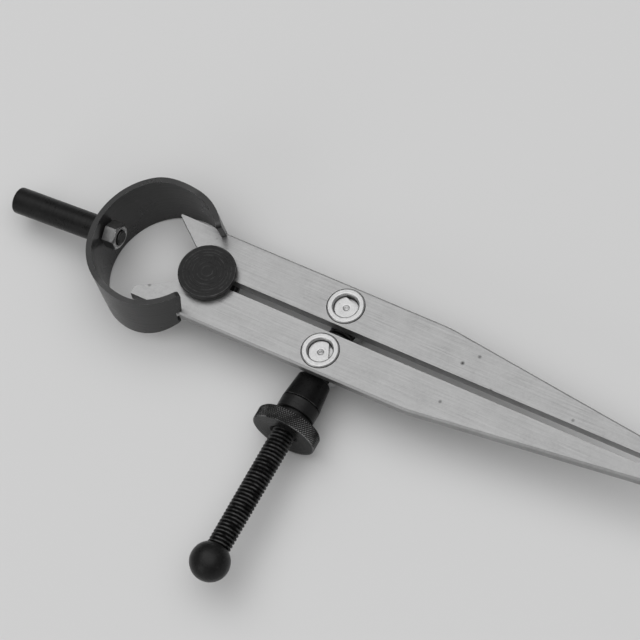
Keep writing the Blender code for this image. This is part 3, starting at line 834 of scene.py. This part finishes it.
def round_cutter(name, radius, bottom, top, place, steps=96):
    outline = [(0, bottom), (radius, bottom), (radius, top), (0, top)]
    cutter = working_object(name, lathe(outline, steps, 0))
    cutter.matrix_world = place
    cutter.hide_render = True
    return cutter


def cut(item, cutter):
    modifier = item.modifiers.new("cut", "BOOLEAN")
    modifier.operation = "DIFFERENCE"
    modifier.solver = "EXACT"
    modifier.object = cutter


# Pieces


def leg_plate(name, side, horn, body, node):
    outline = leg_outline(horn)
    shape = plate([(x, side * y) for x, y in outline], -LEG_FACE, LEG_FACE)
    grind_start = LEG_REACH - POINT_GRIND
    everything = shape.verts[:] + shape.edges[:] + shape.faces[:]
    bmesh.ops.bisect_plane(shape, geom=everything, plane_co=(grind_start, 0, 0), plane_no=(1, 0, 0))
    for vert in shape.verts:
        ground = max(0, (vert.co.x - grind_start) / POINT_GRIND)
        vert.co.z *= 1 - ground * (1 - POINT_SIZE / (2 * LEG_FACE))
    chamfered = [
        edge
        for edge in shape.edges
        if all(NOTCH_FRONT - SEAT_GAP < vert.co.x < grind_start + OUT for vert in edge.verts)
        and abs(edge.verts[0].co.x - edge.verts[1].co.x) > abs(edge.verts[0].co.y - edge.verts[1].co.y)
        and all(side * vert.co.y > INNER_EDGE + 0.1 for vert in edge.verts)
        and edge.verts[0].co.z == edge.verts[1].co.z
        and edge.calc_face_angle(0) > math.radians(60.0)
    ]
    bmesh.ops.bevel(shape, geom=chamfered, offset=LEG_CHAMFER, segments=1, affect="EDGES")
    item = working_object(name, shape)
    place = Matrix.Translation((STUD_FORWARD, side * STUD_ASIDE, 0))
    floor = LEG_FACE + WASHER_PROUD - WASHER_THICKNESS - SEAT_GAP
    bore = round_cutter("bore", STUD_PIN_RADIUS + SEAT_GAP, -LEG_FACE - OUT, LEG_FACE + OUT, place)
    recess = round_cutter("recess", WASHER_RADIUS + PIN_GAP, floor, LEG_FACE + OUT, place)
    cut(item, bore)
    cut(item, recess)
    broken_edges(item, LEG_BROKEN_EDGE)
    piece = bake(item, FLAT, "ground_leg_steel", (bore, recess), straight_path)
    show(piece, body, "ground_leg_steel", node)


def strip_edges(angle):
    """Height of the strip's lower and upper edge. Both curve in towards the strip's ends."""
    upper = (angle - BOW_UPPER_TAPER_END) / (BOW_UPPER_TAPER_START - BOW_UPPER_TAPER_END)
    upper = min(1, max(0, upper))
    lower = min(1, (angle - BOW_PRONG_ANGLE) / (BOW_LOWER_TAPER_START - BOW_PRONG_ANGLE))
    above = BOW_END_ABOVE + (BOW_BACK_ABOVE - BOW_END_ABOVE) * upper**2 * (3 - 2 * upper)
    below = BOW_END_BELOW + (BOW_BACK_BELOW - BOW_END_BELOW) * math.sin(lower * QUARTER_TURN)
    return -below, above


def bow_half(name, side):
    """Half of the bow, from the stem to one pair of prongs."""
    angles = []
    length_per_radian = BOW_HALF_WIDTH - BOW_WALL / 2
    for step in range(9):
        turn = QUARTER_TURN * step / 8
        run = BOW_END_RADIUS * (1 - math.cos(turn))
        drop = BOW_END_RADIUS * (1 - math.sin(turn))
        angle = BOW_PRONG_ANGLE + run / length_per_radian
        low, high = strip_edges(angle)
        angles.append((angle, low + drop, high - drop))
    first = angles[-1][0]
    plain = [first + (math.pi - first) * step / 64 for step in range(1, 65)]
    angles += [(angle, *strip_edges(angle)) for angle in plain]
    strip = bmesh.new()
    rings = []
    for angle, low, high in angles:
        share = max(0, 1 - (angle - BOW_PRONG_ANGLE) / BOW_END_LEAN_FADE)
        lean = share * math.tan(BOW_END_LEAN) / length_per_radian
        ring = []
        for inset, height in ((0, low), (0, high), (BOW_WALL, high), (BOW_WALL, low)):
            spot = on_bow(inset, side * (angle - height * lean))
            ring.append(strip.verts.new((*spot, height)))
        rings.append(ring)
    for ring, following in zip(rings, rings[1:]):
        for edge in range(4):
            ahead = (edge + 1) % 4
            strip.faces.new([ring[edge], ring[ahead], following[ahead], following[edge]])
    strip.faces.new(rings[0])
    strip.faces.new(rings[-1])
    bmesh.ops.recalc_face_normals(strip, faces=strip.faces)
    item = working_object(name, strip)
    half_slot = LEG_FACE + SEAT_GAP
    slot = []
    for inset, way in ((BOW_WALL + OUT, 1), (-OUT, -1)):
        for step in range(-6, 7):
            slot.append(on_bow(inset, way * BOW_SLOT_ANGLE * step / 6))
    cutter = working_object("slot_cutter", plate(slot, -half_slot, half_slot))
    to_bow = (FLAT.inverted() @ BOW_AXIS).inverted()
    cutter.matrix_world = to_bow @ Matrix.Translation((-BOW_CENTRE_BEHIND, 0, 0))
    cut(item, cutter)
    broken_edges(item, BOW_BROKEN_EDGE, 40.0)
    piece = bake(item, BOW_AXIS, "tempered_bow_steel", (cutter,), bow_path)
    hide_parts("bow_spring")
    start, end = (
        tuple(FLAT @ Vector((-behind, side * aside, 0)))
        for behind, aside in (BOW_BEND_START, BOW_BEND_END)
    )
    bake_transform(piece)
    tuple(start)
    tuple(end)


def fulcrum():
    face = LEG_FACE + SEAT_GAP
    top = face + ROLLER_FLANGE
    upper = [(ROLLER_RADIUS - ROLLER_UNDERCUT, face), (ROLLER_RADIUS, face + ROLLER_UNDERCUT)]
    upper += [(ROLLER_RADIUS, top - ROLLER_FACE_EDGE), (ROLLER_RADIUS - ROLLER_FACE_EDGE, top)]
    for outer, inner, depth in ROLLER_RINGS:
        floor = top - depth
        upper += [(outer, top), (outer - ROLLER_RING_SLOPE, floor)]
        upper += [(inner + ROLLER_RING_SLOPE, floor), (inner, top)]
    upper.append((0, top))
    lower = [(radius, -height) for radius, height in reversed(upper)]
    shank = ROLLER_SHANK_RADIUS
    outline = lower + [(shank, -face), (shank, face)] + upper
    turned_piece(
        "fulcrum_spool", outline, FLAT, "oiled_black_steel", "handle", ["fulcrum_roller"], 128, 0.12
    )


def stem():
    start = BOW_HALF_LENGTH + SEAT_GAP
    end = start + STEM_LENGTH
    corner = STEM_NUT_WIDTH / 2 / math.cos(math.tau / 12)
    inner_length = BOW_HALF_LENGTH - BOW_WALL
    inner_width = BOW_HALF_WIDTH - BOW_WALL
    back = inner_length * math.sqrt(1 - (corner / inner_width) ** 2) - SEAT_GAP
    front = back - STEM_NUT_THICKNESS
    low = front - STEM_THREAD_PROUD
    thread = STEM_THREAD_RADIUS
    first = low + STEM_THREAD_CHAMFER
    outline = [(0, low), (thread - STEM_THREAD_CHAMFER, low), (thread, first)]
    rings = 40
    outline += [(thread, first + (start - first - 0.1) * step / rings) for step in range(1, rings)]
    outline += [(thread, start), (STEM_RADIUS, start), (STEM_RADIUS, end - STEM_END_EDGE)]
    outline += rounded((STEM_RADIUS, start), (STEM_RADIUS, end), (0, end), STEM_END_EDGE, 6)[1:]
    outline.append((0, end))
    values = {
        "Pitch": STEM_THREAD_PITCH, "Depth": STEM_THREAD_DEPTH, "Low": low + 0.1, "High": start - 0.2,
        "Fade": 0.2, "Least Radius": thread - 0.1,
    }
    turned_piece(
        "turned_stem", outline, STEM_AXIS, "oiled_black_steel", "handle", ["handle_stem"], 72, 0.1,
        (THREAD, "blackened_screw_steel", values),
    )
    hex_nut(front, back)


def hexagon(turn, flat):
    sector = math.tau / 6
    return flat / math.cos((turn % sector) - sector / 2)


def hex_nut(front, back):
    """Hexagonal nut whose front end is chamfered round, with a thread's countersink."""
    bore = STEM_THREAD_RADIUS + PIN_GAP
    sides = 72
    turns = [math.tau * step / sides for step in range(sides)]
    flat = STEM_NUT_WIDTH / 2
    shape = bmesh.new()
    layer = shape.faces.layers.float.new("edge")
    corner = flat / math.cos(math.tau / 12)
    sink = STEM_NUT_COUNTERSINK
    face = flat - STEM_NUT_FACE_EDGE
    rows = [([bore] * sides, front + sink, 1), ([bore + sink] * sides, front, 0), ([face] * sides, front, 1)]
    for share in (0.25, 0.5, 0.75, 1.0):
        limit = face + (corner - face) * share
        radii = [min(hexagon(turn, flat), limit) for turn in turns]
        rows.append((radii, front + STEM_NUT_CHAMFER * share, 0))
    rows += [([hexagon(turn, flat) for turn in turns], back, 0), ([bore] * sides, back, 0)]
    rings = []
    for radii, height, _ in rows:
        rings.append([shape.verts.new((*on_circle((0, 0), r, t), height)) for r, t in zip(radii, turns)])
    for index, ring in enumerate(rings):
        following = rings[(index + 1) % len(rings)]
        for step in range(sides):
            ahead = (step + 1) % sides
            side = shape.faces.new([ring[step], ring[ahead], following[ahead], following[step]])
            side[layer] = rows[index][2]
    bmesh.ops.recalc_face_normals(shape, faces=shape.faces)
    piece = bake(working_object("stem_lock_nut", shape), STEM_AXIS, "bright_zinc")
    smooth(piece.data, 20.0)
    show(piece, "handle", "bright_zinc", "stem_hex_nut")


def stud(name, side, body, node):
    top = LEG_FACE + WASHER_PROUD - STUD_PIN_RECESS
    head = STUD_HEAD_RADIUS
    pin = STUD_PIN_RADIUS
    seat = -LEG_FACE - SEAT_GAP
    outline = [(0, STUD_FOOT), (head - STUD_FOOT_CHAMFER, STUD_FOOT), (head, STUD_FOOT + STUD_FOOT_CHAMFER)]
    outline += [(head, seat), (pin, seat), (pin, top)]
    outline += [(radius, top - depth) for radius, depth in STUD_CENTRE_MARK]
    item = working_object(name, lathe(outline, 96, 0.12))
    across = Matrix.Translation((0, 0, -SCREW_BELOW_LEGS)) @ Matrix.Rotation(QUARTER_TURN, 4, "X")
    bore = round_cutter("cross_bore", SCREW_BORE_RADIUS, -head - OUT, head + OUT, across, 64)
    near = pin - STUD_PIN_FLAT
    far = pin + OUT
    block = [(near, -far), (far, -far), (far, far), (near, far)]
    flat = working_object("flat_cutter", plate(block, top - STUD_PIN_FLAT_DEPTH, top + OUT))
    flat.matrix_world = Matrix.Rotation(FLAT_ANGLES[side], 4, "Z")
    cut(item, bore)
    cut(item, flat)
    piece = bake(item, stud_axis(side), "turned_bright_steel", (bore, flat))
    smooth(piece.data, 30.0)
    show(piece, body, "turned_bright_steel", node)


def washer(name, side, body, node):
    bore = STUD_PIN_RADIUS + PIN_GAP
    top = LEG_FACE + WASHER_PROUD
    bottom = top - WASHER_THICKNESS
    edge = WASHER_CHAMFER
    outline = [
        (bore, bottom), (WASHER_RADIUS, bottom), (WASHER_RADIUS, top - edge), (WASHER_RADIUS - edge, top),
        (bore + edge, top), (bore, top - edge),
    ]
    turned_piece(name, outline, stud_axis(side), "turned_bright_steel", body, [node], 128, 0.1)


def screw():
    start = -STUD_HEAD_RADIUS - SCREW_END_PROUD
    end = SOCKET_FLOOR - SEAT_GAP
    edge = SCREW_END_CHAMFER
    length = end - start - 2 * edge
    rings = int(length / (SCREW_PITCH / SCREW_RINGS_PER_PITCH))
    outline = [(0, start), (SCREW_RADIUS - edge, start)]
    outline += [(SCREW_RADIUS, start + edge + length * step / rings) for step in range(rings)]
    outline += [(SCREW_RADIUS, end - edge), (SCREW_RADIUS - edge, end), (0, end)]
    values = {
        "Pitch": SCREW_PITCH, "Depth": SCREW_THREAD_DEPTH, "Low": start + 0.2, "High": end - 0.2,
        "Fade": 0.5, "Least Radius": SCREW_RADIUS - 0.2,
    }
    turned_piece(
        "threaded_rod", outline, SCREW_AXIS, "blackened_screw_steel", "screw", ["adjusting_screw"], 48, 0,
        (THREAD, "blackened_screw_steel", values),
    )


def ball():
    socket = SCREW_RADIUS + PIN_GAP
    mouth = math.asin(socket / BALL_RADIUS)
    outline = [(0, SOCKET_FLOOR), (socket, SOCKET_FLOOR)]
    for step in range(48):
        angle = mouth + (math.pi - mouth) * step / 48
        outline.append((BALL_RADIUS * math.sin(angle), BALL_CENTRE - BALL_RADIUS * math.cos(angle)))
    outline.append((0, BALL_CENTRE + BALL_RADIUS))
    turned_piece("end_ball", outline, SCREW_AXIS, "oiled_black_steel", "screw", ["screw_ball"], 96, 0.1)


def bush():
    bore = SCREW_BORE_RADIUS
    narrow = (BUSH_NARROW_RADIUS, 0)
    wide = (BUSH_WIDE_RADIUS, BUSH_LENGTH)
    outline = [(bore, 0), (BUSH_NARROW_RADIUS - BUSH_NARROW_EDGE, 0)]
    outline += rounded((bore, 0), narrow, wide, BUSH_EDGE_RADIUS, 6)[1:]

    def side(height):
        share = height / BUSH_LENGTH
        return BUSH_NARROW_RADIUS + (BUSH_WIDE_RADIUS - BUSH_NARROW_RADIUS) * share

    end = BUSH_LENGTH + BUSH_SEAM
    outline += [(side(end), end), (bore, end)]
    place = SCREW_AXIS @ Matrix.Translation((0, 0, BUSH_START))
    turned_piece("thrust_cone", outline, place, "blackened_screw_steel", "bush", ["thrust_bush"], 96, 0.1)


def finger_nut():
    """Hub, neck and disc in one turned piece. The disc's rim is knurled and its edge scalloped."""
    bore = SCREW_BORE_RADIUS
    neck_start = NUT_HUB_LENGTH
    low = neck_start + NUT_NECK_LENGTH
    high = low + NUT_DISC_THICKNESS
    disc = NUT_DISC_RADIUS
    chamfer = NUT_DISC_CHAMFER
    hub = NUT_HUB_RADIUS
    first = NUT_HUB_FRONT_EDGE
    last = neck_start - NUT_HUB_BACK_EDGE
    outline = [(bore, 0), (hub - first, 0)]
    outline += [(hub, first + (last - first) * step / 20) for step in range(20)]
    outline += [(hub, last), (hub - NUT_HUB_BACK_EDGE, neck_start)]
    outline += [(NUT_NECK_RADIUS, neck_start), (NUT_NECK_RADIUS, low), (disc - chamfer, low)]
    edge = NUT_DISC_FACE_EDGE
    rim = high - low - chamfer - edge
    outline += [(disc, low + chamfer + rim * step / 26) for step in range(26)]
    outline += [(disc, high - edge, 1), (disc - edge, high, 1)]
    outline.append((disc - edge - NUT_DISC_WORN_RING, high))
    outline += [(bore + reach, high - depth) for reach, depth in NUT_FACE_STEPS]
    item = working_object("knurled_finger_nut", lathe(outline, 640, 0))
    add_nodes(item, KNURL, "knurled_black", {
        "Teeth": KNURL_TEETH, "Slant Length": KNURL_SLANT_LENGTH, "Depth": KNURL_DEPTH,
        "Low": low + 0.3, "High": high + 0.2, "Fade": 0.2, "Least Radius": disc - 0.3,
    })
    place = SCREW_AXIS @ Matrix.Translation((0, 0, NUT_START))
    piece = bake(item, place, "knurled_black")
    smooth(piece.data, 40.0)
    show(piece, "nut", "knurled_black", "knurled_nut")


def make_divider():
    leg_plate("anchor_leg_plate", 1, SHORT_HORN, "anchor_leg", "anchor_leg")
    leg_plate("sliding_leg_plate", -1, LONG_HORN, "sliding_leg", "sliding_leg")
    bow_half("bow_anchor_half", 1)
    bow_half("bow_sliding_half", -1)
    fulcrum()
    stem()
    stud("anchor_swivel", 1, "screw", "anchor_stud")
    stud("sliding_swivel", -1, "sliding_stud", "sliding_stud")
    washer("anchor_ring", 1, "anchor_leg", "anchor_washer")
    washer("sliding_ring", -1, "sliding_leg", "sliding_washer")
    screw()
    ball()
    bush()
    finger_nut()


# Studio


FLOOR_TONE = 0.62
SKY_ABOVE = 2.05
SKY_LEVEL = 0.2
SKY_RISE = (0.6, 0.98)


def seen_directly(add, link):
    """One on camera and transmission rays."""
    path = add("ShaderNodeLightPath").outputs
    return calculator(add, link)("MAXIMUM", path["Is Camera Ray"], path["Is Transmission Ray"])


def floor_material():
    material = bpy.data.materials.new("pale_floor")
    material.use_nodes = True
    shader = material.node_tree.nodes["Principled BSDF"]
    shader.inputs["Base Color"].default_value = (FLOOR_TONE, FLOOR_TONE, FLOOR_TONE, 1)
    shader.inputs["Roughness"].default_value = 0.9
    shader.inputs["Specular IOR Level"].default_value = 0.1
    return material


def make_floor():
    shape = bmesh.new()
    corners = [shape.verts.new((x, y, 0)) for x, y in ((-3, -3), (3, -3), (3, 3), (-3, 3))]
    shape.faces.new(corners)
    floor = working_object("floor", shape)
    floor.data.materials.append(floor_material())


def make_sky():
    """Even pale sky, a little dimmer towards the horizon, and the floor's own tone where it is seen."""
    world = bpy.data.worlds.new("studio")
    bpy.context.scene.world = world
    world.use_nodes = True
    tree = world.node_tree
    add, link = wired(tree)
    sky = tree.nodes["Background"]
    sky.inputs["Color"].default_value = (1, 1, 1, 1)
    split = add("ShaderNodeSeparateXYZ")
    link(add("ShaderNodeTexCoord").outputs["Generated"], split.inputs[0])
    rise = mapped(add, link, split.outputs["Z"], SKY_RISE, (SKY_LEVEL, SKY_ABOVE), "SMOOTHSTEP")
    shown = add("ShaderNodeMix", data_type="FLOAT")
    numbers = [item for item in shown.inputs if item.type == "VALUE"]
    link(seen_directly(add, link), numbers[0])
    link(rise, numbers[1])
    numbers[2].default_value = FLOOR_TONE
    link(shown.outputs[0], sky.inputs["Strength"])


# Softboxes: place, size and power
SOFTBOXES = {"left": ((-1.0, 0.5, 1.6), 1.2, 3.5), "card": ((-0.45, -1.3, 0.5), 0.8, 3.0)}


def make_lights():
    make_sky()
    for name, (place, size, power) in SOFTBOXES.items():
        lamp = bpy.data.lights.new(name, "AREA")
        lamp.size = size
        lamp.energy = power
        item = bpy.data.objects.new(name, lamp)
        item.location = place
        item.rotation_euler = (-Vector(place)).to_track_quat("-Z", "Y").to_euler()
        bpy.context.scene.collection.objects.link(item)


# Camera, fitted to the photo in the flat divider's own frame
CAMERA_AZIMUTH = math.radians(41.6819)
CAMERA_HEIGHT = math.radians(61.6705)
CAMERA_ROLL = math.radians(-15.079)
CAMERA_TARGET = (30.9094, 0.6714, 1.5)
PIXELS_PER_MM = 4.119
CAMERA_DISTANCE = 1275.6


def make_camera():
    a, e, r = CAMERA_AZIMUTH, CAMERA_HEIGHT, CAMERA_ROLL
    ahead = Vector((-math.sin(a) * math.cos(e), math.cos(a) * math.cos(e), -math.sin(e)))
    level = Vector((math.cos(a), math.sin(a), 0))
    above = level.cross(ahead)
    right = level * math.cos(r) + above * math.sin(r)
    up = above * math.cos(r) - level * math.sin(r)
    turn = Matrix((right, up, -ahead)).transposed()
    place = FLAT @ (Vector(CAMERA_TARGET) - ahead * CAMERA_DISTANCE)
    data = bpy.data.cameras.new("camera")
    data.sensor_width = 36.0
    data.lens = PIXELS_PER_MM * CAMERA_DISTANCE * data.sensor_width / 640
    data.clip_start = 0.05
    data.clip_end = 20.0
    camera = bpy.data.objects.new("camera", data)
    flat_turn = (FLAT.to_3x3() @ Matrix.Scale(1 / MM, 3)) @ turn
    camera.matrix_world = Matrix.Translation(place) @ flat_turn.to_4x4()
    bpy.context.scene.collection.objects.link(camera)
    bpy.context.scene.camera = camera


make_divider()
make_floor()
make_lights()
make_camera()
bpy.context.scene.view_settings.view_transform = "Standard"
